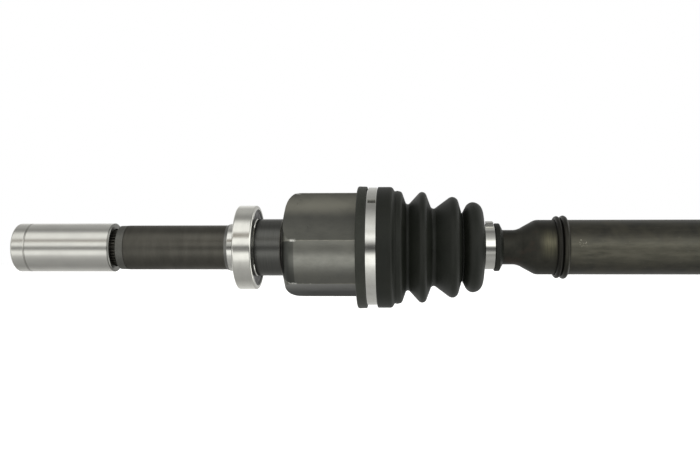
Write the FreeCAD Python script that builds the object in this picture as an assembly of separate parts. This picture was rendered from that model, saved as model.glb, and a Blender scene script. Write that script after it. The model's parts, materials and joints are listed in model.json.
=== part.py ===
import FreeCAD, Part

import math
import os

# Front-drive half shaft, in millimetres. It lies along +X from the gearbox end to the wheel end, with +Z up.
# The origin is the centre of the support bearing, on the axle's own axis.

V = FreeCAD.Vector
CENTRE = V(0, 0, 0)
ALONG = V(1, 0, 0)
ACROSS = V(0, 1, 0)

# Support bearing: a sealed 35 x 62 x 14 deep-groove ball bearing.
BEARING_R = 31.0
BEARING_BORE_R = 17.5
BEARING_HALF = 7.0
BALL_COUNT = 11
BALL_R = 3.97
BALL_CIRCLE_R = 24.25
BALL_GROOVE_R = 4.1
INNER_LAND_R = 21.2
OUTER_LAND_R = 27.2
SEAL_SEAT_R = 28.2
SEAL_GAP = 0.15

# Stub of the inner joint, from the gearbox end to the back of the tulip.
SLEEVE_X0 = -173.2
SLEEVE_X1 = -99.9
SLEEVE_R = 18.0
STUB_END_X = -143.0
COLLAR_X = -96.1
STEM_X = -90.3
SEAT_X = -15.8
STEM_R = 16.4
SHOULDER_R = 20.95
SHOULDER_X1 = 25.7
SPLINE_TEETH = 33
SPLINE_ROOT_R = 11.9
SPLINE_TIP_R = 13.1
SPLINE_PLAY = 0.06

# Tulip of the tripod joint: a round cup with three flats between three lobes.
TULIP_R = 40.2
TULIP_FLAT = 32.25
TULIP_MOUTH_X = 104.0
TULIP_FLOOR_X = 36.0
TULIP_BORE_R = 27.0
TRACK_HALF = 16.6
TRACK_CORNER = 31.5
TRACK_ROOF = 36.0
TRACK_ROOF_HALF = 10.0
LOBE_ANGLES = (105.2, -14.8, 225.2)

# Tripod: spider, rollers and needles.
TRIPOD_X = 70.0
SPIDER_HALF = 11.0
SPIDER_R = 17.0
TRUNNION_R = 9.5
TRUNNION_TIP = 34.0
ROLLER_AT = 25.0
ROLLER_HALF = 5.5
ROLLER_R = 16.0
ROLLER_BORE_R = 12.05
NEEDLE_R = 1.22
NEEDLE_CIRCLE_R = 10.78
NEEDLE_HALF = 5.0
NEEDLE_COUNT = 26
RING_GROOVE_AT = 31.3
RING_THICK = 1.2

# Shaft: two forged ends friction-welded to a tube.
NECK_R = 12.6
RACE_SEAT_R = 12.5
TUBE_R = 19.95
TUBE_BORE_R = 16.45
FLARE_X0 = 194.2
FLARE_X1 = 212.6
INNER_WELD_X = 227.8
OUTER_WELD_X = 400.0
FORGING_CURL_R = 22.65
FORGING_CURL_WIDTH = 4.2
TUBE_CURL_R = 23.1
TUBE_CURL_WIDTH = 4.9

# Boots and their clamps.
WALL = 2.6
BOOT_GAP = 0.3
BAND = 1.0
INNER_COLLAR = (81.2, 88.0, 95.6, 106.0)
INNER_LIP_R = 44.8
INNER_BAND_R = 42.3
INNER_COLLAR_R = 44.3
INNER_FOLDS = ((117.4, 31.7), (128.1, 40.6), (135.7, 28.7), (150.1, 37.3), (156.9, 25.0), (165.5, 33.2))
INNER_TAIL = (173.1, 180.6, 187.0)
TAIL_BAND_R = 16.15
TAIL_LIP_R = 17.5
OUTER_TAIL = (447.0, 454.0, 441.0)
OUTER_COLLAR = (563.0, 569.5, 577.5, 582.0)
OUTER_FOLDS = 6
OUTER_FOLD_PITCH = 16.0

# Outer ball joint.
OUTER_X = 587.0
BELL_R = 44.0
BELL_MOUTH = 24.0
CAGE_OUT_R = 36.0
CAGE_IN_R = 30.5
CAGE_HALF = 12.5
RACE_HALF = 11.0
TRACK_CIRCLE_R = 30.0
TRACK_R = 9.4
DRIVE_BALL_R = 8.5
DRIVE_BALLS = 6
RUNNING = 0.08
HUB_FACE_X = 634.0
HUB_PILOT_R = 15.5
HUB_SPLINE_R = 14.4
THREAD_X = 684.0
THREAD_R = 12.0
THREAD_PITCH = 1.5
END_X = 708.0


def turned(start, *steps):
    """A solid of revolution about X. A step (x, r) is straight; (x, r, x, r) is an arc through a middle point."""
    edges = []
    here = start
    for step in [*steps, start]:
        there = step[-2:]
        if len(step) == 4:
            edges.append(Part.Arc(flat(here), flat(step[:2]), flat(there)).toShape())
        else:
            edges.append(Part.LineSegment(flat(here), flat(there)).toShape())
        here = there
    return Part.Face(Part.Wire(edges)).revolve(CENTRE, ALONG, 360)


def flat(pair):
    """A point of an outline: distance along the axle and radius."""
    return V(pair[0], 0, pair[1])


def ring(x0, x1, r_in, r_out, chamfer=0.0):
    """A plain ring with its outer corners broken."""
    if not chamfer:
        return turned((x0, r_in), (x0, r_out), (x1, r_out), (x1, r_in))
    c = chamfer
    return turned((x0, r_in), (x0, r_out - c), (x0 + c, r_out), (x1 - c, r_out), (x1, r_out - c), (x1, r_in))


def spun(shape, degrees):
    """A copy turned about the axle; a part that points up turns towards -Y."""
    copy = shape.copy()
    copy.rotate(CENTRE, ALONG, degrees)
    return copy


def around(shape, count, first=0.0):
    """Copies spaced evenly round the axle."""
    return [spun(shape, first + 360.0 * k / count) for k in range(count)]


def toothed_bar(x0, x1, root_r, tip_r, teeth, play=0.0):
    """A bar with straight spline teeth. With play it is the cutter for the mating hole."""
    pitch = 2 * math.pi / teeth
    corners = []
    for k in range(teeth):
        for r, share in ((root_r, -0.33), (tip_r, -0.16), (tip_r, 0.16), (root_r, 0.33)):
            angle = (k + share) * pitch + math.copysign(play / r, share)
            corners.append(V(x0, -(r + play) * math.sin(angle), (r + play) * math.cos(angle)))
    return Part.Face(Part.makePolygon([*corners, corners[0]])).extrude(V(x1 - x0, 0, 0))


def save(name, *solids):
    """One node: one solid, or a group of separate ones."""
    shape = solids[0] if len(solids) == 1 else Part.makeCompound(list(solids))
    shape.exportStep(f"parts/{name}.step")


# ---------------------------------------------------------------- support bearing


def ball_groove(radius):
    return Part.makeTorus(BALL_CIRCLE_R, radius, CENTRE, ALONG)


def bearing_rings():
    corner = 1.3
    half = BEARING_HALF
    seal_x = 5.2
    outer = turned(
        (-half, SEAL_SEAT_R),
        (-half, BEARING_R - corner),
        (-half + 0.4, BEARING_R - 0.4, -half + corner, BEARING_R),
        (half - corner, BEARING_R),
        (half - 0.4, BEARING_R - 0.4, half, BEARING_R - corner),
        (half, SEAL_SEAT_R),
        (seal_x, SEAL_SEAT_R),
        (seal_x, OUTER_LAND_R),
        (-seal_x, OUTER_LAND_R),
        (-seal_x, SEAL_SEAT_R),
    )
    inner = ring(-half, half, BEARING_BORE_R, INNER_LAND_R, 0.5)
    save("bearing_outer_ring", outer.cut(ball_groove(BALL_GROOVE_R)))
    save("bearing_inner_ring", inner.cut(ball_groove(BALL_GROOVE_R)))


def bearing_seal(side):
    """A rubber-covered disc with a moulded step, held in the outer ring and running on the inner."""
    lip_r = INNER_LAND_R + SEAL_GAP
    stations = (5.3, 6.5, 6.1, 5.9)
    back, rim, web, lip = (side * x for x in stations)
    return turned(
        (back, lip_r),
        (back, SEAL_SEAT_R),
        (rim, SEAL_SEAT_R),
        (rim, SEAL_SEAT_R - 1.1),
        (web, SEAL_SEAT_R - 1.5),
        (web, lip_r + 1.4),
        (lip, lip_r + 1.0),
        (lip, lip_r),
    )


def bearing_cage_and_balls():
    """A one-piece crown cage, open on one side, with round pockets for the balls."""
    ball = Part.makeSphere(BALL_R, V(0, 0, BALL_CIRCLE_R))
    pocket = Part.makeSphere(BALL_R + 0.06, V(0, 0, BALL_CIRCLE_R))
    crown = ring(-2.4, 5.0, BALL_CIRCLE_R - 1.1, BALL_CIRCLE_R + 1.1)
    save("bearing_cage", crown.cut(Part.makeCompound(around(pocket, BALL_COUNT))))
    save("bearing_balls", *around(ball, BALL_COUNT))


# ---------------------------------------------------------------- gearbox end and tulip


def coupling_sleeve():
    """The ground sleeve that joins the stub to the gearbox's own splined shaft."""
    corner = 1.8
    mouth_r = 14.6
    mouth_depth = 7.0
    relief_r = 14.1
    relief_depth = 5.0
    line_x = SLEEVE_X0 + 9.7
    body = turned(
        (SLEEVE_X0, mouth_r + 0.8),
        (SLEEVE_X0, SLEEVE_R - corner),
        (SLEEVE_X0 + 0.53, SLEEVE_R - 0.53, SLEEVE_X0 + corner, SLEEVE_R),
        (line_x, SLEEVE_R),
        (line_x + 0.5, SLEEVE_R - 0.3),
        (line_x + 0.9, SLEEVE_R - 0.3),
        (line_x + 1.4, SLEEVE_R),
        (SLEEVE_X1 - 0.6, SLEEVE_R),
        (SLEEVE_X1, SLEEVE_R - 0.6),
        (SLEEVE_X1, relief_r),
        (SLEEVE_X1 - relief_depth, relief_r),
        (SLEEVE_X1 - relief_depth - 2.0, SPLINE_ROOT_R - 0.8),
        (SLEEVE_X0 + mouth_depth + 1.5, SPLINE_ROOT_R - 0.8),
        (SLEEVE_X0 + mouth_depth, mouth_r),
        (SLEEVE_X0 + 0.8, mouth_r),
    )
    teeth = toothed_bar(
        SLEEVE_X0, SLEEVE_X1, SPLINE_ROOT_R, SPLINE_TIP_R, SPLINE_TEETH, SPLINE_PLAY
    )
    snap_groove = ring(STUB_END_X + 3.9, STUB_END_X + 5.6, SPLINE_ROOT_R, SPLINE_TIP_R + 0.9)
    save("coupling_sleeve", body.cut(teeth).cut(snap_groove))


def sleeve_snap_ring():
    """A round-wire ring, open at one place, that keeps the sleeve on the stub."""
    wire_r = 0.7
    wire = Part.Face(
        Part.Wire(Part.makeCircle(wire_r, V(STUB_END_X + 4.75, 0, SPLINE_TIP_R), ACROSS))
    )
    save("sleeve_snap_ring", wire.revolve(CENTRE, ALONG, 330))


def lobed(shape):
    """Cuts the three flats that lie between the lobes."""
    depth = 20.0
    span = 80.0
    x0 = SHOULDER_X1 - 4.0
    length = TULIP_MOUTH_X - x0 + 10.0
    slab = Part.makeBox(length, span, depth, V(x0, -span / 2, TULIP_FLAT))
    for angle in LOBE_ANGLES:
        shape = shape.cut(spun(slab, angle + 60))
    return shape


def tulip_cup():
    """The outside of the stub, stem and tulip, before the hollows are cut."""
    return turned(
        (COLLAR_X - 1.0, 0.0),
        (COLLAR_X - 1.0, SPLINE_ROOT_R),
        (COLLAR_X, SPLINE_ROOT_R),
        (COLLAR_X, STEM_R - 0.7),
        (COLLAR_X + 0.5, STEM_R - 0.25),
        (STEM_X, STEM_R - 0.1),
        (STEM_X + 0.2, STEM_R - 0.5),
        (STEM_X + 0.8, STEM_R - 0.5),
        (STEM_X + 1.0, STEM_R),
        (SEAT_X, STEM_R),
        (SEAT_X + 2.6, BEARING_BORE_R),
        (BEARING_HALF, BEARING_BORE_R),
        (BEARING_HALF, SHOULDER_R - 0.4),
        (BEARING_HALF + 0.4, SHOULDER_R),
        (SHOULDER_X1 - 0.6, SHOULDER_R),
        (SHOULDER_X1 + 0.45, SHOULDER_R + 0.35, SHOULDER_X1 + 1.0, SHOULDER_R + 1.5),
        (SHOULDER_X1 + 3.9, TULIP_R - 6.4),
        (SHOULDER_X1 + 6.2, TULIP_R - 2.7, SHOULDER_X1 + 9.2, TULIP_R - 0.45),
        (SHOULDER_X1 + 12.5, TULIP_R),
        (TULIP_MOUTH_X - 1.0, TULIP_R),
        (TULIP_MOUTH_X, TULIP_R - 1.0),
        (TULIP_MOUTH_X, 0.0),
    )


def tulip_hollow():
    """The bore and the three straight roller tracks."""
    length = TULIP_MOUTH_X - TULIP_FLOOR_X + 5.0
    start = V(TULIP_FLOOR_X, 0, 0)
    hollow = Part.makeCylinder(TULIP_BORE_R, length, start, ALONG)
    low = 10.0
    corners = (
        (-TRACK_HALF, low),
        (-TRACK_HALF, TRACK_CORNER),
        (-TRACK_ROOF_HALF, TRACK_ROOF),
        (TRACK_ROOF_HALF, TRACK_ROOF),
        (TRACK_HALF, TRACK_CORNER),
        (TRACK_HALF, low),
        (-TRACK_HALF, low),
    )
    track = Part.Face(Part.makePolygon([start + V(0, y, z) for y, z in corners])).extrude(V(length, 0, 0))
    for angle in LOBE_ANGLES:
        hollow = hollow.fuse(spun(track, angle))
    return hollow


def tulip_housing():
    stub = toothed_bar(STUB_END_X, COLLAR_X - 0.5, SPLINE_ROOT_R, SPLINE_TIP_R, SPLINE_TEETH)
    nose = turned(
        (STUB_END_X, 0.0),
        (STUB_END_X, SPLINE_ROOT_R - 0.4),
        (STUB_END_X + 2.0, SPLINE_TIP_R + 0.5),
        (COLLAR_X, SPLINE_TIP_R + 0.5),
        (COLLAR_X, 0.0),
    )
    snap_groove = ring(STUB_END_X + 3.9, STUB_END_X + 5.6, SPLINE_ROOT_R - 0.1, SPLINE_TIP_R + 1)
    stub = stub.common(nose).cut(snap_groove)
    body = lobed(tulip_cup()).cut(tulip_hollow())
    centre_drill = Part.makeCone(3.4, 0.0, 4.0, V(STUB_END_X, 0, 0), ALONG)
    save("tulip_housing", body.fuse(stub).cut(centre_drill).removeSplitter())


# ---------------------------------------------------------------- tripod


def on_trunnion(shape, k):
    """Moves a shape made round the X axis at the origin onto trunnion k."""
    copy = shape.copy()
    copy.rotate(CENTRE, ACROSS, -90)
    copy.translate(V(TRIPOD_X, 0, 0))
    return spun(copy, LOBE_ANGLES[k])


def trunnion():
    groove_end = RING_GROOVE_AT + RING_THICK
    return turned(
        (8.0, 0.0),
        (8.0, TRUNNION_R),
        (RING_GROOVE_AT, TRUNNION_R),
        (RING_GROOVE_AT, TRUNNION_R - 0.9),
        (groove_end, TRUNNION_R - 0.9),
        (groove_end, TRUNNION_R),
        (TRUNNION_TIP - 0.8, TRUNNION_R),
        (TRUNNION_TIP, TRUNNION_R - 0.8),
        (TRUNNION_TIP, 0.0),
    )


def tripod_spider():
    spider = ring(TRIPOD_X - SPIDER_HALF, TRIPOD_X + SPIDER_HALF, RACE_SEAT_R, SPIDER_R, 1.5)
    for k in range(3):
        spider = spider.fuse(on_trunnion(trunnion(), k))
    bore = Part.makeCylinder(RACE_SEAT_R, 60, V(TRIPOD_X - 30, 0, 0), ALONG)
    save("tripod_spider", spider.cut(bore).removeSplitter())


def roller():
    low = ROLLER_AT - ROLLER_HALF
    high = ROLLER_AT + ROLLER_HALF
    side = math.sqrt(ROLLER_R**2 - ROLLER_HALF**2)
    return turned(
        (low, ROLLER_BORE_R),
        (low, side),
        (ROLLER_AT, ROLLER_R, high, side),
        (high, ROLLER_BORE_R),
    )


def needles():
    start = V(ROLLER_AT - NEEDLE_HALF, 0, NEEDLE_CIRCLE_R)
    needle = Part.makeCylinder(NEEDLE_R, 2 * NEEDLE_HALF, start, ALONG)
    return Part.makeCompound(around(needle, NEEDLE_COUNT))


def open_ring(x0, thick, r_in, r_out, gap=40.0):
    """A circlip: a flat ring with a gap cut out of it at the top."""
    wedge_r = 2 * r_out
    half = math.radians(gap / 2)
    left = V(x0 - 1, -wedge_r * math.sin(half), wedge_r * math.cos(half))
    right = V(x0 - 1, wedge_r * math.sin(half), wedge_r * math.cos(half))
    middle = V(x0 - 1, 0, 0)
    wedge = Part.Face(Part.makePolygon([middle, left, right, middle])).extrude(V(thick + 2, 0, 0))
    return ring(x0, x0 + thick, r_in, r_out).cut(wedge)


def tripod_small_parts():
    snap = open_ring(RING_GROOVE_AT, RING_THICK, TRUNNION_R - 0.9, TRUNNION_R + 1.7)
    washer = ring(ROLLER_AT + ROLLER_HALF + 0.1, RING_GROOVE_AT, TRUNNION_R, TRUNNION_R + 3.2)
    save("roller_snap_rings", *[on_trunnion(snap, k) for k in range(3)])
    save("roller_washers", *[on_trunnion(washer, k) for k in range(3)])
    for k in range(3):
        save(f"tripod_roller_{k + 1}", on_trunnion(roller(), k))
        save(f"roller_needles_{k + 1}", on_trunnion(needles(), k))
    circlip_x = TRIPOD_X - SPIDER_HALF - 1.6
    save("spider_circlip", open_ring(circlip_x, 1.5, RACE_SEAT_R - 1.1, RACE_SEAT_R + 2.2))


# ---------------------------------------------------------------- shaft


def weld_curl(x, side, crest, width):
    """Half of the weld's double curl: a lip of flash rolled outwards from the weld line at x, and tucked under."""
    rise = crest - TUBE_R
    return turned(
        (x, TUBE_BORE_R),
        (x, TUBE_R + 0.15 * rise),
        (x + side * 0.17 * width, TUBE_R + 0.75 * rise, x + side * 0.45 * width, crest),
        (x + side * 0.86 * width, TUBE_R + 0.76 * rise, x + side * 0.98 * width, TUBE_R + 0.35 * rise),
        (x + side * 0.92 * width, TUBE_R + 0.08 * rise, x + side * 0.82 * width, TUBE_R),
        (x + side * 0.82 * width, TUBE_BORE_R),
    )


def shaft_end(seat_x, clip_x, weld_x, side):
    """A forged shaft end: splined seat, neck, flare and a hollow skirt up to the weld."""
    flare_small = weld_x - side * (INNER_WELD_X - FLARE_X0)
    flare_large = weld_x - side * (INNER_WELD_X - FLARE_X1)
    flare = flare_large - flare_small
    rise = TUBE_R - NECK_R
    skirt_x = flare_large + side * 1.0
    end_x = clip_x - side * 3.4
    body = turned(
        (end_x, 0.0),
        (end_x, RACE_SEAT_R - 1.0),
        (end_x + side * 1.0, RACE_SEAT_R),
        (clip_x, RACE_SEAT_R),
        (clip_x, RACE_SEAT_R - 1.1),
        (clip_x + side * 1.5, RACE_SEAT_R - 1.1),
        (clip_x + side * 1.5, RACE_SEAT_R),
        (seat_x, RACE_SEAT_R),
        (seat_x + side * 0.5, NECK_R),
        (flare_small, NECK_R),
        (flare_small + 0.18 * flare, NECK_R + 0.08 * rise, flare_small + 0.36 * flare, NECK_R + 0.31 * rise),
        (flare_small + 0.79 * flare, NECK_R + 0.9 * rise),
        (flare_small + 0.88 * flare, NECK_R + 0.975 * rise, flare_large, TUBE_R),
        (weld_x, TUBE_R),
        (weld_x, TUBE_BORE_R),
        (skirt_x, TUBE_BORE_R),
        (skirt_x - side * 9.0, 0.0),
    )
    return body.fuse(weld_curl(weld_x, -side, FORGING_CURL_R, FORGING_CURL_WIDTH)).removeSplitter()


def shaft():
    inner_clip_x = TRIPOD_X - SPIDER_HALF - 1.6
    outer_clip_x = OUTER_X + RACE_HALF + 1.6
    save("inner_shaft_forging", shaft_end(TRIPOD_X + SPIDER_HALF, inner_clip_x, INNER_WELD_X, 1))
    save("outer_shaft_forging", shaft_end(OUTER_X - RACE_HALF, outer_clip_x, OUTER_WELD_X, -1))
    tube = ring(INNER_WELD_X, OUTER_WELD_X, TUBE_BORE_R, TUBE_R)
    for x, side in ((INNER_WELD_X, 1), (OUTER_WELD_X, -1)):
        tube = tube.fuse(weld_curl(x, side, TUBE_CURL_R, TUBE_CURL_WIDTH))
    save("shaft_tube", tube.removeSplitter())


# ---------------------------------------------------------------- boots and clamps


def inside_folds(folds):
    """The inner points that match the outer points of a boot's folds, in the opposite order."""
    return [(x, r - WALL) for x, r in reversed(folds)]


def inner_boot():
    """Collar on the tulip, three folds that step down in size, and a narrow tail on the neck."""
    lip, band, collar, collar_end = INNER_COLLAR
    tail, tail_end, end = INNER_TAIL
    tail_in = NECK_R + BOOT_GAP
    tail_out = TAIL_BAND_R - BAND - BOOT_GAP
    outside = [
        (lip, INNER_LIP_R - 0.8),
        (lip + 0.8, INNER_LIP_R),
        (band, INNER_LIP_R),
        (band, INNER_BAND_R - BAND),
        (collar, INNER_BAND_R - BAND),
        (collar, INNER_COLLAR_R),
        (collar_end, INNER_COLLAR_R),
        (collar_end + 2.6, INNER_COLLAR_R - 2.4),
        (collar_end + 6.6, INNER_COLLAR_R - 4.2),
        *INNER_FOLDS,
        (INNER_FOLDS[-1][0] + 4.6, INNER_FOLDS[-1][1] - 2.0),
        (tail - 0.4, TAIL_LIP_R + 1.2),
        (tail, tail_out),
        (tail_end, tail_out),
        (tail_end + 0.3, TAIL_LIP_R),
        (tail_end + 3.6, TAIL_LIP_R),
        (end, tail_in + 1.2),
        (end, tail_in),
    ]
    inside = [
        (tail - 3.0, tail_in),
        (INNER_FOLDS[-1][0] + 1.0, INNER_FOLDS[-1][1] - WALL),
        *inside_folds(INNER_FOLDS[:-1]),
        (collar_end + 2.6, TULIP_R - 3.0),
        (TULIP_MOUTH_X + 0.2, TULIP_R - 3.0),
        (TULIP_MOUTH_X + 0.2, TULIP_FLAT - 1.0),
        (lip, TULIP_FLAT - 1.0),
    ]
    return turned(*outside, *inside).cut(lobed(tulip_cup()))


def inner_boot_parts():
    lip, band, collar, _ = INNER_COLLAR
    tail, tail_end, _ = INNER_TAIL
    save("inner_boot", inner_boot())
    save("inner_clamp_large", band_clamp(band + 0.1, collar - 0.1, INNER_BAND_R, -76.0, 5.0, 115.0, 1.75))
    save("inner_clamp_small", band_clamp(tail + 0.2, tail_end - 0.2, TAIL_BAND_R, 8.0, -85.0, -13.0))


def sector(x0, x1, r_in, r_out, start, end):
    """Part of a plain ring, between two angles."""
    corners = (x0, r_in), (x0, r_out), (x1, r_out), (x1, r_in), (x0, r_in)
    side = Part.Face(Part.makePolygon([V(x, 0, r) for x, r in corners]))
    return spun(side.revolve(CENTRE, ALONG, end - start), start)


def band_clamp(x0, x1, r_out, ear_angle, tongue_from, tongue_to, tongue_high=0.7):
    """A steel band with one pinched ear and its overlapped end, a tongue between two angles from the ear."""
    hoop = ring(x0, x1, r_out - BAND, r_out, 0.15)
    ear_long = 8.0
    ear_high = 2.6
    inset = 0.9
    length = x1 - x0 - 2 * inset
    ear = Part.makeBox(length, ear_long, ear_high + 1, V(x0 + inset, -ear_long / 2, r_out - 1))
    tunnel = Part.makeBox(length + 2, ear_long - 2.4, ear_high, V(x0, 1.2 - ear_long / 2, r_out - 1.6))
    pinch = Part.makeCylinder(1.6, length + 2, V(x0, 0, r_out + ear_high + 0.9), ALONG)
    ear = ear.cut(tunnel).cut(pinch)
    tongue = sector(x0 + 1.1, x1 - 0.6, r_out - 0.3, r_out + tongue_high, tongue_from, tongue_to)
    clamp = hoop.fuse(ear).fuse(tongue)
    core = Part.makeCylinder(r_out - BAND, x1 - x0 + 2, V(x0 - 1, 0, 0), ALONG)
    return spun(clamp.cut(core), ear_angle)


def outer_boot():
    """Six even folds that widen from the neck to the bell."""
    tail, tail_end, end = OUTER_TAIL
    collar, band, band_end, mouth = OUTER_COLLAR
    tail_in = NECK_R + BOOT_GAP
    tail_out = TAIL_BAND_R - BAND - BOOT_GAP
    collar_in = BELL_R
    folds = []
    for k in range(OUTER_FOLDS):
        x = tail_end + 8.0 + k * OUTER_FOLD_PITCH
        folds.append((x, 25.0 + 3.9 * k))
        folds.append((x + OUTER_FOLD_PITCH / 2, 20.5 + 3.4 * k))
    outside = [
        (end, tail_in + 1.2),
        (end + 1.5, TAIL_LIP_R),
        (tail, TAIL_LIP_R),
        (tail, tail_out),
        (tail_end, tail_out),
        (tail_end, TAIL_LIP_R),
        *folds,
        (collar - 3.0, collar_in + 2.6),
        (band, collar_in + 2.6),
        (band, collar_in + 1.6),
        (band_end, collar_in + 1.6),
        (band_end, collar_in + 3.2),
        (mouth, collar_in + 3.2),
        (mouth, collar_in),
    ]
    inside = [
        (collar - 0.2, collar_in),
        (collar - 0.2, collar_in - 2.0),
        *inside_folds(folds),
        (tail_end + 1.0, tail_in),
        (end, tail_in),
    ]
    return turned(*outside, *inside)


def outer_boot_parts():
    tail, tail_end, _ = OUTER_TAIL
    _, band, band_end, _ = OUTER_COLLAR
    save("outer_boot", outer_boot())
    save("outer_clamp_large", band_clamp(band + 0.1, band_end - 0.1, BELL_R + 1.6 + BAND, 120.0, -21.0, -4.0))
    save("outer_clamp_small", band_clamp(tail + 0.2, tail_end - 0.2, TAIL_BAND_R, 60.0, -85.0, -13.0))


# ---------------------------------------------------------------- outer ball joint


def ball_track(start_deg, sweep_deg):
    """A round groove that follows an arc about the joint's centre. 0 degrees is straight out, + is to the wheel."""
    circle = Part.makeCircle(TRACK_R, V(OUTER_X, 0, TRACK_CIRCLE_R), ALONG)
    face = Part.Face(Part.Wire(circle))
    pivot = V(OUTER_X, 0, 0)
    face.rotate(pivot, ACROSS, start_deg)
    return face.revolve(pivot, ACROSS, sweep_deg)


def bell_housing():
    mouth_x = OUTER_X - BELL_MOUTH
    cup = turned(
        (mouth_x, 0.0),
        (mouth_x, BELL_R - 1.0),
        (mouth_x + 1.0, BELL_R),
        (OUTER_X + 14.0, BELL_R),
        (OUTER_X + 27.0, BELL_R - 4.5, OUTER_X + 36.0, 29.5),
        (OUTER_X + 40.0, 26.5),
        (HUB_FACE_X, 26.5),
        (HUB_FACE_X, HUB_PILOT_R),
        (HUB_FACE_X + 10.0, HUB_PILOT_R),
        (HUB_FACE_X + 11.0, HUB_SPLINE_R - 1.4),
        (THREAD_X - 2.0, HUB_SPLINE_R - 1.4),
        (THREAD_X, THREAD_R - 1.0),
        (END_X, THREAD_R - 1.0),
        (END_X, 0.0),
    )
    sphere_r = CAGE_OUT_R + RUNNING
    room = Part.makeSphere(sphere_r, V(OUTER_X, 0, 0))
    entry_out = 37.6
    entry_x = OUTER_X - 13.0
    entry_in = math.sqrt(sphere_r**2 - (OUTER_X - entry_x) ** 2)
    entry = turned((mouth_x - 1, 0.0), (mouth_x - 1, entry_out + 0.4), (entry_x, entry_in), (entry_x, 0.0))
    bell = cup.cut(room).cut(entry)
    for track in around(ball_track(-80, 125), DRIVE_BALLS):
        bell = bell.cut(track)
    spline = toothed_bar(HUB_FACE_X + 12, THREAD_X - 3, HUB_SPLINE_R - 1.4, HUB_SPLINE_R, SPLINE_TEETH - 3)
    centre_drill = Part.makeCone(3.4, 0.0, 4.0, V(END_X, 0, 0), V(-1, 0, 0))
    save("outer_bell_housing", bell.fuse(spline).fuse(hub_thread()).cut(centre_drill).removeSplitter())


def hub_thread():
    """The thread's ridges, as rings at the thread's pitch."""
    x = THREAD_X + 1.0
    steps = [(x, THREAD_R - 1.2)]
    while x < END_X - 2 * THREAD_PITCH:
        steps += [(x + 0.1, THREAD_R - 0.9), (x + THREAD_PITCH / 2, THREAD_R)]
        x += THREAD_PITCH
    steps += [(x + 0.1, THREAD_R - 0.9), (x + 0.1, THREAD_R - 1.2)]
    return turned(*steps)


def ball_joint_inside():
    middle = V(OUTER_X, 0, 0)
    wide = Part.makeCylinder(60, 2 * RACE_HALF, V(OUTER_X - RACE_HALF, 0, 0), ALONG)
    race = Part.makeSphere(CAGE_IN_R - RUNNING, middle).common(wide)
    race = race.cut(Part.makeCylinder(RACE_SEAT_R, 60, V(OUTER_X - 30, 0, 0), ALONG))
    for track in around(ball_track(-60, 120), DRIVE_BALLS):
        race = race.cut(track)
    save("outer_inner_race", race)
    belt = Part.makeCylinder(60, 2 * CAGE_HALF, V(OUTER_X - CAGE_HALF, 0, 0), ALONG)
    cage = Part.makeSphere(CAGE_OUT_R, middle).common(belt).cut(Part.makeSphere(CAGE_IN_R, middle))
    window_x = DRIVE_BALL_R + 0.05
    window_y = 9.6
    corner = V(OUTER_X - window_x, -window_y, CAGE_IN_R - 6)
    window = Part.makeBox(2 * window_x, 2 * window_y, 14.0, corner)
    for cut in around(window, DRIVE_BALLS):
        cage = cage.cut(cut)
    save("outer_ball_cage", cage)
    ball = Part.makeSphere(DRIVE_BALL_R, V(OUTER_X, 0, TRACK_CIRCLE_R))
    save("outer_drive_balls", *around(ball, DRIVE_BALLS))
    save("outer_circlip", open_ring(OUTER_X + RACE_HALF + 0.1, 1.5, RACE_SEAT_R - 1.1, RACE_SEAT_R + 2.2))


def main():
    os.makedirs("parts", exist_ok=True)
    bearing_rings()
    save("bearing_seal_gearbox_side", bearing_seal(-1))
    save("bearing_seal_wheel_side", bearing_seal(1))
    bearing_cage_and_balls()
    coupling_sleeve()
    sleeve_snap_ring()
    tulip_housing()
    tripod_spider()
    tripod_small_parts()
    shaft()
    inner_boot_parts()
    outer_boot_parts()
    bell_housing()
    ball_joint_inside()


main()
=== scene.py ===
import json
import math

import bpy
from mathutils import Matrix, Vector


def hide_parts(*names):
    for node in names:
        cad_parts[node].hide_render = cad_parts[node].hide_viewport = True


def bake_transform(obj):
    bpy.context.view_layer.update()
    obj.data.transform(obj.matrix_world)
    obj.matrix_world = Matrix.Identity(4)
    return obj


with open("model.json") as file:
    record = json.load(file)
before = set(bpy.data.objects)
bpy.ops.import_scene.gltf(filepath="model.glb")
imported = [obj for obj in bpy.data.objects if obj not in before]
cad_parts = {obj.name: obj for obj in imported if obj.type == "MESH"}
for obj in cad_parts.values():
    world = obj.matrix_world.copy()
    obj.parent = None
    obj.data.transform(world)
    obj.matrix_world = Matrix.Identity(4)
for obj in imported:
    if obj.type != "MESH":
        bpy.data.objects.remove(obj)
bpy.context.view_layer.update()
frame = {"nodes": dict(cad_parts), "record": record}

MM = 0.001
FULL_TURN = 2 * math.pi

# Places along the axle, in millimetres from the support bearing's centre.
SLEEVE_LINE = (-163.5, -162.1)
SLEEVE_RIM = (-101.3, -99.0)
STEM_BAND = (-96.2, -90.2)
STEM_POLISH = (-90.0, -40.0)
SEAT_CHAMFER = (-15.7, -13.0)
BRIGHT_SEAT = (-13.4, -6.8)
SHOULDER = (6.9, 25.7)
CUP_BACK = 26.3
LOBE_SHADE = (33.0, 38.0)
CUP_CORNER = (36.0, 39.5)
LOBE_START = 38.4
BOOT_LIP = (79.8, 88.4)
FORGING_WORN = (213.5, 223.0)
WELD = (223.4, 232.8)
TUBE_SPECKS_X = 242.3

# Places round the axle, in degrees from the top towards the front: (middle, reach).
# SEAT_STRIPE places a painted dark reflection; UPPER_FLAT, UPPER_CORNER, FRONT_LOBE and TUBE_FRONT
# place painted highlights.
SEAT_STRIPE = (84.0, 14.0)
UPPER_FLAT = (26.0, 24.0)
UPPER_CORNER = (74.0, 34.0)
FRONT_LOBE = (100.0, 20.0)
FORGING_RUB = (82.0, 42.0)
TUBE_SPECKS = (82.0, 20.0)
TUBE_FRONT = (99.0, 40.0)

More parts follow.
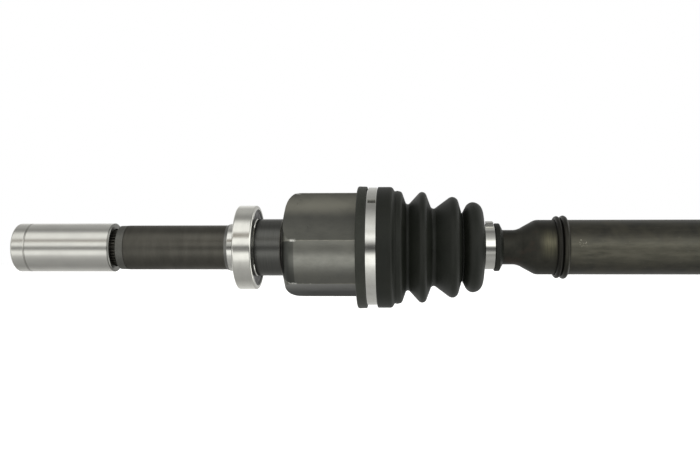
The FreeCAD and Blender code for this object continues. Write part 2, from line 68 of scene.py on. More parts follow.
# The cup's section: three round lobes between flats.
CUP_R = 40.2
LOBE_MIDDLE = 105.2
LOBE_HALF = 23.4
LOBE_PITCH = 120.0
# LOWER_FLAT_Z is where the painted shade on the lower flat fades in.
LOWER_FLAT_Z = (-26.0, -33.0)

# The ranges that hold most of a noise's values.
MOST = (0.35, 0.65)
NEARLY_ALL = (0.3, 0.7)


# ---------------------------------------------------------------- nodes


class Nodes:
    """Builds nodes in one tree. A value is a number, a tuple or another node's output."""

    def __init__(self, tree):
        self.tree = tree

    def new(self, kind, **settings):
        node = self.tree.nodes.new(kind)
        for key, value in settings.items():
            setattr(node, key, value)
        return node

    def feed(self, value, socket):
        if isinstance(value, bpy.types.NodeSocket):
            self.tree.links.new(value, socket)
        else:
            socket.default_value = value

    def op(self, operation, a, b=0.0):
        node = self.new("ShaderNodeMath", operation=operation)
        self.feed(a, node.inputs[0])
        self.feed(b, node.inputs[1])
        return node.outputs[0]

    def both(self, a, b):
        return self.op("MULTIPLY", a, b)

    def either(self, a, b):
        return self.op("MAXIMUM", a, b)

    def plus(self, a, b):
        return self.op("ADD", a, b)

    def spread(self, value, low, high, to_low=0.0, to_high=1.0, smooth=False):
        """Takes low to to_low and high to to_high, and stays level beyond them."""
        node = self.new("ShaderNodeMapRange")
        node.interpolation_type = "SMOOTHSTEP" if smooth else "LINEAR"
        for socket, given in zip(node.inputs, (value, low, high, to_low, to_high)):
            self.feed(given, socket)
        return node.outputs["Result"]

    def blend(self, factor, a, b):
        """A number that goes from a to b."""
        return self.spread(factor, 0.0, 1.0, a, b)

    def mix(self, factor, a, b):
        """A colour that goes from a to b."""
        node = self.new("ShaderNodeMix", data_type="RGBA")
        self.feed(factor, node.inputs["Factor"])
        for colour, socket in ((a, node.inputs[6]), (b, node.inputs[7])):
            self.feed((*colour, 1.0) if isinstance(colour, tuple) else colour, socket)
        return node.outputs[2]


class Paint(Nodes):
    """Builds one node material. Places are in millimetres: x along the axle, y and z across it."""

    def __init__(self, name):
        self.material = bpy.data.materials.new(name)
        self.material.use_nodes = True
        super().__init__(self.material.node_tree)
        self.shader = self.tree.nodes["Principled BSDF"]
        coords = self.new("ShaderNodeTexCoord")
        grow = self.new("ShaderNodeVectorMath", operation="SCALE")
        self.feed(coords.outputs["Object"], grow.inputs[0])
        grow.inputs["Scale"].default_value = 1 / MM
        self.place = grow.outputs[0]
        split = self.new("ShaderNodeSeparateXYZ")
        self.feed(self.place, split.inputs[0])
        self.x, self.y, self.z = split.outputs

    def noise(self, along, across, detail=4.0, rough=0.55, warp=0.0):
        """Noise with that many features per millimetre along the axle and across it."""
        stretch = self.new("ShaderNodeVectorMath", operation="MULTIPLY")
        self.feed(self.place, stretch.inputs[0])
        self.feed((along, across, across), stretch.inputs[1])
        node = self.new("ShaderNodeTexNoise")
        self.feed(stretch.outputs[0], node.inputs["Vector"])
        node.inputs["Scale"].default_value = 1.0
        node.inputs["Detail"].default_value = detail
        node.inputs["Roughness"].default_value = rough
        node.inputs["Distortion"].default_value = warp
        return node.outputs["Fac"]

    def between(self, x0, x1, soft=0.4):
        """1 between two places along the axle, 0 elsewhere."""
        up = self.spread(self.x, x0 - soft, x0 + soft, smooth=True)
        down = self.spread(self.x, x1 - soft, x1 + soft, 1.0, 0.0, smooth=True)
        return self.both(up, down)

    def near(self, value, middle, reach):
        """1 where a value is at the middle, and down to 0 at that reach from it."""
        off = self.op("ABSOLUTE", self.op("SUBTRACT", value, middle))
        return self.spread(off, 0.0, reach, 1.0, 0.0, smooth=True)

    def turned(self):
        """Degrees round the axle: 0 at the top, 90 at the front."""
        return self.op("DEGREES", self.op("ARCTAN2", self.op("MULTIPLY", self.y, -1.0), self.z))

    def finish(self, colour, rough, metallic, bump, depth, specular=0.5):
        """Wires the shader up. The bump's depth is in millimetres."""
        inputs = self.shader.inputs
        self.feed(colour, inputs["Base Color"])
        self.feed(rough, inputs["Roughness"])
        inputs["Metallic"].default_value = metallic
        inputs["Specular IOR Level"].default_value = specular
        relief = self.new("ShaderNodeBump")
        relief.inputs["Strength"].default_value = 1.0
        relief.inputs["Distance"].default_value = depth * MM
        self.feed(bump, relief.inputs["Height"])
        self.feed(relief.outputs["Normal"], inputs["Normal"])
        return self.material


# ---------------------------------------------------------------- bright steel


def ground_steel():
    """The sleeve's: ground in fine rings, with a few long scratches, storage stains, and painted
    shade in its groove and at its rim.
    """
    clean, stained, scratched = (0.58, 0.575, 0.54), (0.535, 0.53, 0.50), (0.50, 0.49, 0.45)
    painted_groove_shade, painted_rim_shade = (0.30, 0.295, 0.27), (0.13, 0.13, 0.12)
    p = Paint("ground_steel")
    rings = p.noise(9.0, 0.06, detail=3.0, rough=0.6)
    haze = p.noise(0.05, 0.09, detail=3.0)
    scratches = p.noise(0.02, 1.6, detail=2.0, rough=0.5)
    colour = p.mix(p.spread(haze, *MOST), clean, stained)
    colour = p.mix(p.spread(scratches, 0.6, 0.75, 0.0, 0.5), colour, scratched)
    # Painted shade darkening the groove.
    colour = p.mix(p.both(p.between(*SLEEVE_LINE, 0.2), 0.5), colour, painted_groove_shade)
    # Painted shade darkening the sleeve's rim.
    colour = p.mix(p.both(p.between(*SLEEVE_RIM, 0.3), 0.8), colour, painted_rim_shade)
    hazy = p.spread(haze, *NEARLY_ALL, 0.19, 0.23)
    rough = p.plus(hazy, p.spread(rings, *NEARLY_ALL, 0.0, 0.05))
    return p.finish(colour, rough, metallic=1.0, bump=rings, depth=0.003)


def bearing_steel():
    """Ground and honed, brighter than the sleeve."""
    clean, stained = (0.66, 0.655, 0.61), (0.62, 0.615, 0.575)
    p = Paint("bearing_steel")
    rings = p.noise(14.0, 0.08, detail=3.0, rough=0.6)
    haze = p.noise(0.2, 0.1, detail=2.0)
    colour = p.mix(p.spread(haze, *MOST), clean, stained)
    hazy = p.spread(haze, *NEARLY_ALL, 0.11, 0.15)
    rough = p.plus(hazy, p.spread(rings, *NEARLY_ALL, 0.0, 0.04))
    return p.finish(colour, rough, metallic=1.0, bump=rings, depth=0.002)


def band_steel():
    """Bright cold-rolled strip: long faint rolling streaks round the band."""
    clean, stained = (0.66, 0.66, 0.625), (0.62, 0.615, 0.575)
    p = Paint("band_steel")
    streaks = p.noise(2.4, 0.03, detail=3.0, rough=0.6)
    spots = p.noise(0.25, 0.25, detail=3.0)
    colour = p.mix(p.spread(spots, 0.4, 0.7), clean, stained)
    streaky = p.spread(streaks, *NEARLY_ALL, 0.07, 0.12)
    rough = p.plus(streaky, p.spread(spots, 0.5, 0.75, 0.0, 0.04))
    return p.finish(colour, rough, metallic=1.0, bump=streaks, depth=0.002)


def plain_metal(name, dark, light, smoothest, roughest, along=5.0, across=0.3):
    """A machined piece with tool marks."""
    p = Paint(name)
    marks = p.noise(along, across, detail=3.0, rough=0.6)
    stain = p.noise(0.15, 0.15, detail=3.0)
    colour = p.mix(p.spread(marks, *MOST), dark, light)
    stained = p.spread(stain, *NEARLY_ALL, smoothest, roughest)
    rough = p.plus(stained, p.spread(marks, 0.4, 0.6, 0.0, 0.05))
    return p.finish(colour, rough, metallic=1.0, bump=marks, depth=0.006)


# ---------------------------------------------------------------- the tulip housing


def off_lobe(p):
    """Degrees from the middle of the nearest lobe. Two full turns keep the angle above 0."""
    return p.op("PINGPONG", p.plus(p.turned(), 720.0 - LOBE_MIDDLE), LOBE_PITCH / 2)


def on_lobes(p):
    """1 on the cup's round lobes, 0 on its flats."""
    return p.spread(off_lobe(p), LOBE_HALF - 1.5, LOBE_HALF, 1.0, 0.0)


def on_edges(p, reach):
    """1 on the straight edges between the lobes and the flats, within that many millimetres."""
    off = p.op("ABSOLUTE", p.op("SUBTRACT", off_lobe(p), LOBE_HALF))
    along_arc = p.op("MULTIPLY", off, math.radians(CUP_R))
    return p.spread(along_arc, 0.3 * reach, reach, 1.0, 0.0, smooth=True)


def nicks(p):
    """Bare spots: a few along the cup's edges, and more where the edges meet its back."""
    few = p.both(on_edges(p, 0.8), p.spread(p.noise(0.3, 0.3, detail=3.0), 0.68, 0.74))
    corner = p.both(on_edges(p, 1.4), p.between(*CUP_CORNER, 1.0))
    return p.either(few, p.both(corner, p.spread(p.noise(0.9, 0.9, detail=2.0), 0.38, 0.5)))


def stem_colour(p, grain):
    """Dark phosphate with browner bars across it."""
    dark, brown, specks = (0.076, 0.073, 0.063), (0.096, 0.092, 0.079), (0.115, 0.11, 0.096)
    bars = p.noise(0.16, 0.05, detail=3.0, rough=0.5)
    colour = p.mix(p.spread(bars, 0.35, 0.7), dark, brown)
    return p.mix(p.spread(grain, 0.5, 0.75, 0.0, 0.5), colour, specks)


def cup_colour(p, scale, grain, under):
    """Mottled forging scale, with painted highlights on the upper flat, its upper corner and the
    front lobe, and painted shade on the lower flat and on the lobes' back.
    """
    dark, light, specks = (0.172, 0.173, 0.155), (0.214, 0.212, 0.184), (0.26, 0.26, 0.23)
    brassy, painted_front_highlight, painted_faint_highlight = (0.52, 0.505, 0.42), (0.40, 0.40, 0.355), (0.30, 0.30, 0.26)
    below, painted_back_shade = (0.06, 0.062, 0.060), (0.05, 0.052, 0.048)
    turn = p.turned()
    mottle = p.spread(p.noise(0.16, 0.28, detail=5.0, rough=0.7), 0.3, 0.65, 0.55, 1.0)
    painted_upper_highlight = p.both(p.near(turn, *UPPER_FLAT), p.spread(scale, 0.2, 0.5, 0.7, 1.0))
    before_back = p.spread(p.x, LOBE_START - 0.5, LOBE_START + 0.5, 1.0, 0.0, smooth=True)
    on_back = p.both(on_lobes(p), before_back)

    colour = p.mix(p.spread(scale, 0.34, 0.66), dark, light)
    colour = p.mix(p.spread(grain, 0.56, 0.78, 0.0, 0.6), colour, specks)
    # Painted highlight: a paler brassy band along the upper flat.
    colour = p.mix(painted_upper_highlight, colour, brassy)
    # Painted highlight on the front lobe.
    colour = p.mix(p.both(p.near(turn, *FRONT_LOBE), mottle), colour, painted_front_highlight)
    # Painted highlight, fainter, on the upper corner.
    colour = p.mix(p.both(p.near(turn, *UPPER_CORNER), mottle), colour, painted_faint_highlight)
    # Painted shade on the lower flat.
    colour = p.mix(under, colour, below)
    # Painted shade on the back of the lobes, before they start.
    return p.mix(p.both(on_back, p.spread(p.x, *LOBE_SHADE, 0.9, 0.6)), colour, painted_back_shade)


def seat_colour(p, rings):
    """Ground bright, with a painted dark reflection as a stripe along its front."""
    low, high, painted_dark_reflection = (0.58, 0.58, 0.55), (0.66, 0.655, 0.62), (0.2, 0.2, 0.185)
    bright = p.mix(p.spread(rings, *MOST), low, high)
    # Painted reflection: a dark stripe along the seat's front.
    return p.mix(p.both(p.near(p.turned(), *SEAT_STRIPE), 0.85), bright, painted_dark_reflection)


def tulip_steel():
    """One forging in several finishes: dark stem, pale band, bright seat, turned shoulder, cup."""
    turned_low, turned_high = (0.088, 0.089, 0.084), (0.108, 0.108, 0.101)
    pale_low, pale_high = (0.120, 0.119, 0.108), (0.155, 0.154, 0.142)
    chamfer, edge, bare = (0.21, 0.21, 0.2), (0.36, 0.345, 0.29), (0.66, 0.66, 0.62)
    p = Paint("tulip_steel")
    scale = p.noise(0.07, 0.07, warp=0.3)
    grain = p.noise(1.1, 1.1, rough=0.65)
    rings = p.noise(3.2, 0.05, detail=2.0, rough=0.5)
    on_band = p.between(*STEM_BAND, 0.5)
    on_chamfer = p.between(*SEAT_CHAMFER, 0.3)
    on_seat = p.between(*BRIGHT_SEAT, 0.2)
    on_shoulder = p.between(*SHOULDER, 0.5)
    on_cup = p.spread(p.x, CUP_BACK - 0.6, CUP_BACK + 0.6, smooth=True)
    under = p.spread(p.z, *LOWER_FLAT_Z, 0.4, 0.8)
    patchy = p.spread(p.noise(0.2, 0.2, detail=3.0), 0.35, 0.7, 0.1, 0.6)
    on_edge = p.both(on_edges(p, 0.7), patchy)
    turned = p.mix(p.spread(rings, *NEARLY_ALL), turned_low, turned_high)
    pale = p.mix(p.spread(grain, *MOST), pale_low, pale_high)

    colour = p.mix(on_cup, stem_colour(p, grain), cup_colour(p, scale, grain, under))
    colour = p.mix(on_shoulder, colour, turned)
    colour = p.mix(on_band, colour, pale)
    colour = p.mix(p.both(on_chamfer, 0.8), colour, chamfer)
    colour = p.mix(on_seat, colour, seat_colour(p, rings))
    colour = p.mix(p.both(on_edge, on_cup), colour, edge)
    colour = p.mix(p.both(nicks(p), on_cup), colour, bare)

    # Painted shade: on the lower flat the reflection is dimmed, as well as its colour darkened.
    tint = p.mix(under, (1.0, 1.0, 1.0), (0.2, 0.2, 0.2))
    p.feed(tint, p.shader.inputs["Specular Tint"])

    stem_rough = p.spread(p.x, *STEM_POLISH, 0.46, 0.33)
    rough = p.blend(on_cup, stem_rough, p.spread(scale, *NEARLY_ALL, 0.27, 0.34))
    rough = p.plus(rough, p.spread(grain, 0.4, 0.7, 0.0, 0.06))
    rough = p.blend(on_shoulder, rough, 0.28)
    rough = p.blend(on_seat, rough, 0.12)
    skin = p.both(grain, p.blend(on_seat, 1.0, 0.05))
    tool_marks = p.both(rings, p.blend(on_shoulder, 0.1, 0.3))
    return p.finish(colour, rough, metallic=0.95, bump=p.plus(skin, tool_marks), depth=0.016)


# ---------------------------------------------------------------- the shaft


def shaft_steel(name, worn=None):
    """Black forging skin. A worn range adds a brassy worn patch, and a dark weld beside it that is
    painted darker still as shade in the crease between its curls.
    """
    dark, light, rusty = (0.026, 0.026, 0.0215), (0.038, 0.037, 0.030), (0.042, 0.034, 0.027)
    brassy, weld_dark_and_shade = (0.13, 0.122, 0.08), (0.016, 0.0155, 0.0135)
    p = Paint(name)
    scale = p.noise(0.09, 0.09, warp=0.3)
    grain = p.noise(1.3, 1.3, rough=0.65)
    rust = p.noise(0.05, 0.08, detail=3.0, rough=0.6)
    colour = p.mix(p.spread(scale, *MOST), dark, light)
    colour = p.mix(p.spread(rust, 0.54, 0.7), colour, rusty)
    rough = p.spread(scale, *NEARLY_ALL, 0.44, 0.54)
    if worn is not None:
        rings = p.noise(1.4, 0.05, detail=3.0, rough=0.6)
        patch = p.both(p.between(*worn, 4.0), p.near(p.turned(), *FORGING_RUB))
        wear_and_painted_highlight = p.both(patch, p.spread(rings, 0.3, 0.62, 0.3, 1.0))
        colour = p.mix(wear_and_painted_highlight, colour, brassy)
        rough = p.blend(wear_and_painted_highlight, rough, 0.36)
        # A dark weld, darker still as painted shade in the crease between its curls.
        colour = p.mix(p.both(p.between(*WELD), 0.75), colour, weld_dark_and_shade)
    return p.finish(colour, rough, metallic=0.85, bump=grain, depth=0.016)


def tube_steel():
    """Drawn tube, thinly blacked: olive clouds, drawing lines, scuffs, a cluster of specks, a
    painted highlight along its front and painted shade at the weld.
    """
    dark, light, drawn = (0.044, 0.044, 0.038), (0.074, 0.070, 0.055), (0.085, 0.082, 0.066)
    scuffed, bare = (0.14, 0.135, 0.115), (0.28, 0.27, 0.225)
    painted_front_highlight, weld_dark_and_shade = (0.135, 0.13, 0.102), (0.020, 0.0195, 0.0165)
    p = Paint("tube_steel")
    clouds = p.noise(0.045, 0.06, detail=5.0, rough=0.6, warp=0.5)
    lines = p.noise(0.03, 0.6, detail=3.0)
    scuffs = p.noise(0.25, 0.9, detail=3.0, rough=0.6)
    grain = p.noise(1.4, 1.4, rough=0.65)
    cluster = p.both(p.near(p.x, TUBE_SPECKS_X, 7.0), p.near(p.turned(), *TUBE_SPECKS))
    specks = p.spread(p.plus(p.noise(0.7, 0.7, detail=2.0), p.both(cluster, 0.2)), 0.72, 0.76)
    cloudy = p.spread(p.noise(0.06, 0.3, detail=5.0, rough=0.65), 0.35, 0.62, 0.4, 1.0)
    wear_and_painted_highlight = p.both(p.near(p.turned(), *TUBE_FRONT), cloudy)

    colour = p.mix(p.spread(clouds, 0.36, 0.64), dark, light)
    colour = p.mix(p.spread(lines, 0.5, 0.75, 0.0, 0.4), colour, drawn)
    colour = p.mix(p.spread(scuffs, 0.66, 0.76, 0.0, 0.55), colour, scuffed)
    colour = p.mix(p.both(specks, p.spread(cluster, 0.1, 0.3)), colour, bare)
    # Painted highlight along the tube's front.
    colour = p.mix(wear_and_painted_highlight, colour, painted_front_highlight)
    # A dark weld, darker still as painted shade in the crease between its curls.
    colour = p.mix(p.both(p.between(*WELD), 0.75), colour, weld_dark_and_shade)
    rough = p.spread(clouds, *NEARLY_ALL, 0.38, 0.46)
    relief = p.plus(grain, p.both(lines, 0.4))
    return p.finish(colour, rough, metallic=0.9, bump=relief, depth=0.014)


# ---------------------------------------------------------------- rubber and plastic


def boot_rubber():
    """Moulded thermoplastic rubber: satin black, mould texture, faint rings and a dusty bloom."""
    black, bloomed = (0.0078, 0.0090, 0.0066), (0.0108, 0.0121, 0.0090)
    specks, dusty = (0.019, 0.020, 0.016), (0.027, 0.029, 0.023)
    p = Paint("boot_rubber")
    grain = p.noise(2.6, 2.6, rough=0.7)
    bloom = p.noise(0.06, 0.06, rough=0.6)
    rings = p.noise(1.1, 0.02, detail=2.0, rough=0.5)
    dust = p.both(p.between(*BOOT_LIP, 0.3), p.spread(bloom, 0.3, 0.6, 0.6, 1.0))
    colour = p.mix(p.spread(bloom, *MOST), black, bloomed)
    colour = p.mix(p.spread(grain, 0.62, 0.78, 0.0, 0.4), colour, specks)
    colour = p.mix(dust, colour, dusty)
    grainy = p.spread(grain, *NEARLY_ALL, -0.03, 0.04)
    rough = p.plus(p.spread(bloom, *NEARLY_ALL, 0.46, 0.56), grainy)
    relief = p.plus(grain, p.both(rings, 0.6))
    return p.finish(colour, rough, metallic=0.0, bump=relief, depth=0.016, specular=0.22)


def seal_rubber():
    """Black rubber with a film of oil in places."""
    p = Paint("seal_rubber")
    grain = p.noise(3.0, 3.0, detail=3.0, rough=0.6)
    oil = p.noise(0.3, 0.3, detail=2.0)
    colour = p.mix(p.spread(grain, 0.4, 0.7), (0.012, 0.012, 0.012), (0.022, 0.022, 0.02))
    rough = p.spread(oil, *NEARLY_ALL, 0.3, 0.5)
    return p.finish(colour, rough, metallic=0.0, bump=grain, depth=0.01)


def cage_plastic():
    """Natural nylon with faint flow marks."""
    p = Paint("cage_plastic")
    grain = p.noise(1.5, 1.5, detail=3.0)
    flow = p.noise(0.25, 0.25, detail=3.0, rough=0.5, warp=0.5)
    colour = p.mix(p.spread(flow, *MOST), (0.42, 0.33, 0.17), (0.52, 0.43, 0.25))
    rough = p.spread(grain, *NEARLY_ALL, 0.4, 0.55)
    return p.finish(colour, rough, metallic=0.0, bump=grain, depth=0.01)


def paint_frame():
    """Gives every CAD node its finish, by the record's slot or by its own name."""
    machined = ((0.34, 0.335, 0.32), (0.46, 0.455, 0.43), 0.22, 0.34)
    spring = ((0.16, 0.16, 0.17), (0.26, 0.26, 0.27), 0.2, 0.32, 2.0, 2.0)
    by_slot = {
        "bearing_steel": bearing_steel(),
        "ground_steel": ground_steel(),
        "machined_steel": plain_metal("machined_steel", *machined),
        "forged_steel": shaft_steel("forged_steel"),
        "tube_steel": tube_steel(),
        "spring_steel": plain_metal("spring_steel", *spring),
        "stainless_band": band_steel(),
        "boot_rubber": boot_rubber(),
        "seal_rubber": seal_rubber(),
        "cage_plastic": cage_plastic(),
    }
    by_name = {
        "tulip_housing": tulip_steel(),
        "inner_shaft_forging": shaft_steel("forging_skin", FORGING_WORN),
    }
    for part in frame["record"]["subparts"]:
        look = by_name.get(part["node"], by_slot[part["material_slot"]])
        mesh = frame["nodes"][part["node"]].data
        mesh.materials.clear()
        mesh.materials.append(look)
    return by_slot


# ---------------------------------------------------------------- boots

# A corner of an outline is (x, radius about the axle) in millimetres, or (x, radius, rounding).
INNER_BOOT_OUTSIDE = (
    (81.2, 40.4),
    (81.2, 44.9, 1.3),
    (88.0, 44.7, 0.7),
    (88.0, 41.25, 0.2),
    (95.6, 41.25, 0.2),
    (95.6, 44.4, 0.9),
    (106.2, 44.4, 2.6),
    (108.1, 41.1, 0.8),
    (109.6, 41.6, 0.9),
    (113.2, 40.95, 2.8),
    (117.0, 30.2, 1.75),
    (129.25, 43.5, 3.3),
    (135.4, 27.1, 2.3),
    (152.5, 39.8, 4.3),
    (156.95, 24.3, 0.5),
    (161.5, 33.05, 6.0),
    (171.4, 33.05, 7.2),
    (172.9, 14.9, 0.2),
    (180.5, 14.9, 0.2),
    (180.6, 17.5, 0.6),
    (184.1, 17.5, 0.9),
    (186.4, 12.9),
)
INNER_BOOT_INSIDE = (
    (81.2, 40.4),
    (104.3, 40.4),
    (104.3, 37.4, 0.8),
    (112.0, 37.2, 2.0),
    (116.6, 27.4, 1.6),
    (128.0, 40.2, 2.0),
    (134.2, 25.2, 1.6),
    (151.0, 36.4, 2.5),
    (156.0, 22.1, 0.5),
    (161.8, 30.4, 4.5),
    (168.2, 30.4, 4.5),
    (170.6, 13.0, 0.5),
    (186.4, 12.9),
)
INNER_SEAM = 126.2

OUTER_NECK_OUTSIDE = (
    (441.0, 12.9),
    (441.2, 14.4, 0.4),
    (442.6, 17.5, 0.8),
    (446.9, 17.5, 0.6),
    (447.0, 14.85, 0.2),
    (454.0, 14.85, 0.2),
    (454.1, 17.5, 0.6),
)
OUTER_NECK_INSIDE = ((441.0, 12.9), (455.0, 12.9))
OUTER_COLLAR_OUTSIDE = (
    (560.0, 46.6, 2.0),
    (569.4, 46.6, 0.5),
    (569.5, 45.6, 0.2),
    (577.5, 45.6, 0.2),
    (577.6, 47.2, 0.6),
    (582.0, 47.2, 0.8),
    (582.0, 44.1),
)
OUTER_COLLAR_INSIDE = ((561.0, 42.0, 1.0), (562.6, 42.0), (562.8, 44.1), (582.0, 44.1))
OUTER_FOLDS = 6
OUTER_FIRST_PEAK = (462.0, 27.2)
OUTER_FIRST_VALLEY_R = 18.6
OUTER_FOLD_PITCH = 16.0
OUTER_PEAK_GROWTH = 3.9
OUTER_VALLEY_GROWTH = 3.4
OUTER_PEAK_ROUNDING = 2.4
OUTER_VALLEY_ROUNDING = 1.6
OUTER_INSIDE_ROUNDING = 1.2
OUTER_WALL_AT_PEAK = 3.6
OUTER_WALL_AT_VALLEY = 2.0
OUTER_SEAM = 546.0

# How finely the boots are drawn: the longest straight run outside and inside, in millimetres,
# the degrees between points on an arc, and the number of steps round the axle.
INNER_RUNS = (0.8, 1.5)
OUTER_RUNS = (1.2, 2.5)
ARC_STEP = 9.0
HIDDEN_ARC_STEP = 18.0
RINGS = 192
CREASE = 50.0


def rounded(corners, step=ARC_STEP):
    """An outline with each corner that has a rounding replaced by an arc."""
    points = []
    last = len(corners) - 1
    for k, (x, r, *rounding) in enumerate(corners):
        here = Vector((x, r))
        if not rounding or k in (0, last):
            points.append(here)
            continue
        back = (Vector(corners[k - 1][:2]) - here).normalized()
        ahead = (Vector(corners[k + 1][:2]) - here).normalized()
        half = back.angle(ahead) / 2
        middle = here + (back + ahead).normalized() * (rounding[0] / math.sin(half))
        start = here + back * (rounding[0] / math.tan(half)) - middle
        turn = math.pi - 2 * half
        if back.x * ahead.y - back.y * ahead.x < 0:
            turn = -turn
        steps = max(2, round(abs(math.degrees(turn)) / step))
        for i in range(steps + 1):
            points.append(middle + rotated(start, -turn * i / steps))
    return points


def rotated(v, angle):
    c, s = math.cos(angle), math.sin(angle)
    return Vector((c * v.x - s * v.y, s * v.x + c * v.y))


def filled(points, longest):
    """Adds points on the long straight runs."""
    out = [points[0]]
    for a, b in zip(points, points[1:]):
        parts = max(1, math.ceil((b - a).length / longest))
        out += [a.lerp(b, i / parts) for i in range(1, parts + 1)]
    return out


def split_at(points, x):
    """The part of an outline before x and the part after it, both with the point at x."""
    for k, (a, b) in enumerate(zip(points, points[1:])):
        if a.x <= x < b.x:
            cut = a.lerp(b, (x - a.x) / (b.x - a.x))
            return points[: k + 1] + [cut], [cut] + points[k + 1 :]
    raise ValueError(f"the outline doesn't reach {x}")


def lathe(name, outside, inside, material):
    """A hollow piece of revolution. Both outlines run the same way; flat rings close its ends."""
    loop = outside + inside[::-1]
    count = len(loop)
    verts = []
    for k in range(RINGS):
        angle = FULL_TURN * k / RINGS
        c, s = math.cos(angle), math.sin(angle)
        verts += [(p.x * MM, -p.y * s * MM, p.y * c * MM) for p in loop]
    faces = []
    for k in range(RINGS):
        this, after = k * count, (k + 1) % RINGS * count
        for i in range(count):
            j = (i + 1) % count
            faces.append((this + i, this + j, after + j, after + i))
    mesh = bpy.data.meshes.new(name)
    mesh.from_pydata(verts, [], faces)
    mesh.validate()
    mesh.shade_smooth()
    mesh.set_sharp_from_angle(angle=math.radians(CREASE))
    mesh.materials.append(material)
    piece = bpy.data.objects.new(name, mesh)
    bpy.context.scene.collection.objects.link(piece)
    return piece


def inner_boot(rubber):
    """Three folds. The halves meet at the seam."""
    outside = filled(rounded(INNER_BOOT_OUTSIDE), INNER_RUNS[0])
    inside = filled(rounded(INNER_BOOT_INSIDE), INNER_RUNS[1])
    near_out, far_out = split_at(outside, INNER_SEAM)
    near_in, far_in = split_at(inside, INNER_SEAM)
    near = lathe("inner_boot_collar_half", near_out, near_in, rubber)
    far = lathe("inner_boot_tail_half", far_out, far_in, rubber)
    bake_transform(near)
    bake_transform(far)
    for half in (near, far):
        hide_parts("inner_boot")


def outer_boot_outlines():
    """Even folds that widen from the neck to the bell."""
    outside, inside = list(OUTER_NECK_OUTSIDE), list(OUTER_NECK_INSIDE)
    for k in range(OUTER_FOLDS):
        x = OUTER_FIRST_PEAK[0] + OUTER_FOLD_PITCH * k
        peak = OUTER_FIRST_PEAK[1] + OUTER_PEAK_GROWTH * k
        valley = OUTER_FIRST_VALLEY_R + OUTER_VALLEY_GROWTH * k
        valley_x = x + OUTER_FOLD_PITCH / 2
        outside += [(x, peak, OUTER_PEAK_ROUNDING), (valley_x, valley, OUTER_VALLEY_ROUNDING)]
        inside += [
            (x, peak - OUTER_WALL_AT_PEAK, OUTER_INSIDE_ROUNDING),
            (valley_x, valley - OUTER_WALL_AT_VALLEY, OUTER_INSIDE_ROUNDING),
        ]
    outside += OUTER_COLLAR_OUTSIDE
    inside += OUTER_COLLAR_INSIDE
    return outside, inside


def outer_boot(rubber):
    """The halves meet at the seam."""
    outside, inside = outer_boot_outlines()
    outside = filled(rounded(outside), OUTER_RUNS[0])
    inside = filled(rounded(inside, HIDDEN_ARC_STEP), OUTER_RUNS[1])
    near_out, far_out = split_at(outside, OUTER_SEAM)
    near_in, far_in = split_at(inside, OUTER_SEAM)
    near = lathe("outer_boot_tail_half", near_out, near_in, rubber)
    far = lathe("outer_boot_collar_half", far_out, far_in, rubber)
    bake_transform(near)
    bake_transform(far)
    for half in (near, far):
        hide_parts("outer_boot")


# ---------------------------------------------------------------- studio

# The light's level round X, as (degrees from the front towards the top, level). A third value
# warms it. The first strip lights what faces the gearbox end, and the last what faces the wheel.
LEFT_STRIP = (
    (-180, 1.0), (-140, 0.75), (-100, 0.42), (-60, 0.52), (-40, 0.75), (-30, 1.35), (-16, 1.42),
    (-8, 0.35), (3, 0.24), (11, 1.4), (24, 1.4), (30, 0.42, 1), (37, 0.42, 1), (46, 1.35),
    (68, 1.3), (84, 0.42), (94, 0.36), (112, 0.55), (134, 0.58), (150, 0.9), (180, 1.0),
)
MIDDLE_STRIP = (
    (-180, 0.7), (-140, 0.6), (-100, 0.5), (-81, 0.52), (-59, 0.64), (-46, 0.84), (-38, 1.05),
    (-31, 1.45), (-15, 1.55), (-8, 0.4), (-2, 0.09), (4, 0.14), (9, 0.5), (14, 1.0), (20, 1.4),
    (25, 1.3), (31, 1.0), (44, 0.96), (57, 0.74), (71, 0.5), (84, 0.34), (94, 0.33), (134, 0.52),
    (150, 0.65), (180, 0.7),
)
RIGHT_STRIP = (
    (-180, 0.6), (-110, 0.5), (-80, 0.4), (-55, 0.47), (-38, 0.36), (-30, 0.6), (-24, 0.5),
    (-15, 0.17), (-2, 0.14), (4, 0.7), (9, 1.75), (32, 1.7), (37, 1.2), (43, 0.8), (49, 0.62),
    (60, 0.46), (80, 0.33), (88, 0.22), (111, 0.55), (150, 0.6), (180, 0.6),
)
# Where one light takes over from another, along a direction's X.
LEFT_TO_MIDDLE = (-0.17, -0.08)
MIDDLE_TO_RIGHT = (-0.02, 0.08)
TO_WHEEL_SIDE = (0.5, 0.72)
TO_ENDS = (0.8, 0.98)

STRIPS_STRENGTH = 2.0
WHEEL_SIDE_STRENGTH = 1.6
ENDS_STRENGTH = 0.8
NEUTRAL = (1.0, 1.0, 0.98)
WARM = (1.0, 0.93, 0.84)


def light_strip(n, turn, stops):
    """One strip of light, as a colour ramp over the turn round X, where 0.5 is the front."""
    ramp = n.new("ShaderNodeValToRGB")
    n.feed(turn, ramp.inputs["Fac"])
    elements = ramp.color_ramp.elements
    for degrees, level, *warm in stops:
        place = degrees / 360 + 0.5
        if degrees == -180:
            stop = elements[0]
            stop.position = place
        elif degrees == 180:
            stop = elements[-1]
            stop.position = place
        else:
            stop = elements.new(place)
        tint = WARM if warm else NEUTRAL
        stop.color = (*(level * t / STRIPS_STRENGTH for t in tint), 1.0)
    return ramp.outputs["Color"]


def background(n, colour, strength):
    node = n.new("ShaderNodeBackground")
    n.feed((*colour, 1.0) if isinstance(colour, tuple) else colour, node.inputs["Color"])
    n.feed(strength, node.inputs["Strength"])
    return node.outputs[0]


def laid_over(n, base, light, share):
    """One light over another, by its share."""
    node = n.new("ShaderNodeMixShader")
    for value, socket in zip((share, base, light), node.inputs):
        n.feed(value, socket)
    return node.outputs[0]


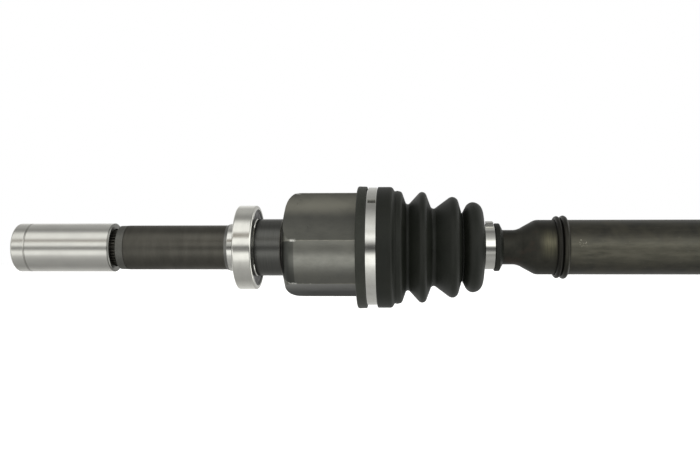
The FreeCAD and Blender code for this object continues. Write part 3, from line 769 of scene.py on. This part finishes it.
def studio_light():
    """Long soft boxes above and below a dark gap in front. The light depends on its direction
    only: on the angle about X, and on how far it points along X. The camera sees plain white."""
    world = bpy.data.worlds.new("studio")
    bpy.context.scene.world = world
    world.use_nodes = True
    world.node_tree.nodes.clear()
    n = Nodes(world.node_tree)
    coords = n.new("ShaderNodeTexCoord")
    split = n.new("ShaderNodeSeparateXYZ")
    n.feed(coords.outputs["Generated"], split.inputs[0])
    x, y, z = split.outputs
    angle = n.op("ARCTAN2", z, n.op("MULTIPLY", y, -1.0))
    turn = n.plus(n.op("DIVIDE", angle, FULL_TURN), 0.5)

    left = light_strip(n, turn, LEFT_STRIP)
    middle = light_strip(n, turn, MIDDLE_STRIP)
    right = light_strip(n, turn, RIGHT_STRIP)
    colour = n.mix(n.spread(x, *LEFT_TO_MIDDLE, smooth=True), left, middle)
    colour = n.mix(n.spread(x, *MIDDLE_TO_RIGHT, smooth=True), colour, right)

    room = background(n, colour, STRIPS_STRENGTH)
    wheel_side = background(n, NEUTRAL, WHEEL_SIDE_STRENGTH)
    room = laid_over(n, room, wheel_side, n.spread(x, *TO_WHEEL_SIDE, smooth=True))
    ends = background(n, NEUTRAL, ENDS_STRENGTH)
    room = laid_over(n, room, ends, n.spread(n.op("ABSOLUTE", x), *TO_ENDS, smooth=True))
    white = background(n, (1.0, 1.0, 1.0), 1.0)
    seen = n.new("ShaderNodeLightPath").outputs["Is Camera Ray"]
    out = n.new("ShaderNodeOutputWorld")
    n.feed(laid_over(n, room, white, seen), out.inputs["Surface"])
    bpy.context.scene.view_settings.view_transform = "Standard"


def studio_floor():
    """A plain white floor well below the part."""
    mesh = bpy.data.meshes.new("floor")
    half, level = 6.0, -0.26
    corners = [(x * half, y * half, level) for x, y in ((-1, -1), (1, -1), (1, 1), (-1, 1))]
    mesh.from_pydata(corners, [], [(0, 1, 2, 3)])
    floor = bpy.data.objects.new("floor", mesh)
    bpy.context.scene.collection.objects.link(floor)
    material = bpy.data.materials.new("floor")
    material.use_nodes = True
    shader = material.node_tree.nodes["Principled BSDF"]
    shader.inputs["Base Color"].default_value = (0.9, 0.9, 0.9, 1.0)
    shader.inputs["Roughness"].default_value = 1.0
    shader.inputs["Specular IOR Level"].default_value = 0.0
    shader.inputs["Emission Color"].default_value = (1.0, 1.0, 1.0, 1.0)
    shader.inputs["Emission Strength"].default_value = 0.55
    mesh.materials.append(material)
    floor.visible_glossy = False


def camera():
    """Level with the axle, in front of the inner joint, turned a little to the gearbox end."""
    data = bpy.data.cameras.new("camera")
    data.sensor_width = 36.0
    data.lens = 41.87
    data.shift_x = -0.0315
    data.clip_start = 0.05
    data.clip_end = 50.0
    eye = bpy.data.objects.new("camera", data)
    eye.location = (0.118, -0.600, 0.01055)
    eye.rotation_euler = (math.radians(90.0), math.radians(0.09), math.radians(2.551))
    bpy.context.scene.collection.objects.link(eye)
    bpy.context.scene.camera = eye


looks = paint_frame()
inner_boot(looks["boot_rubber"])
outer_boot(looks["boot_rubber"])
studio_light()
studio_floor()
camera()
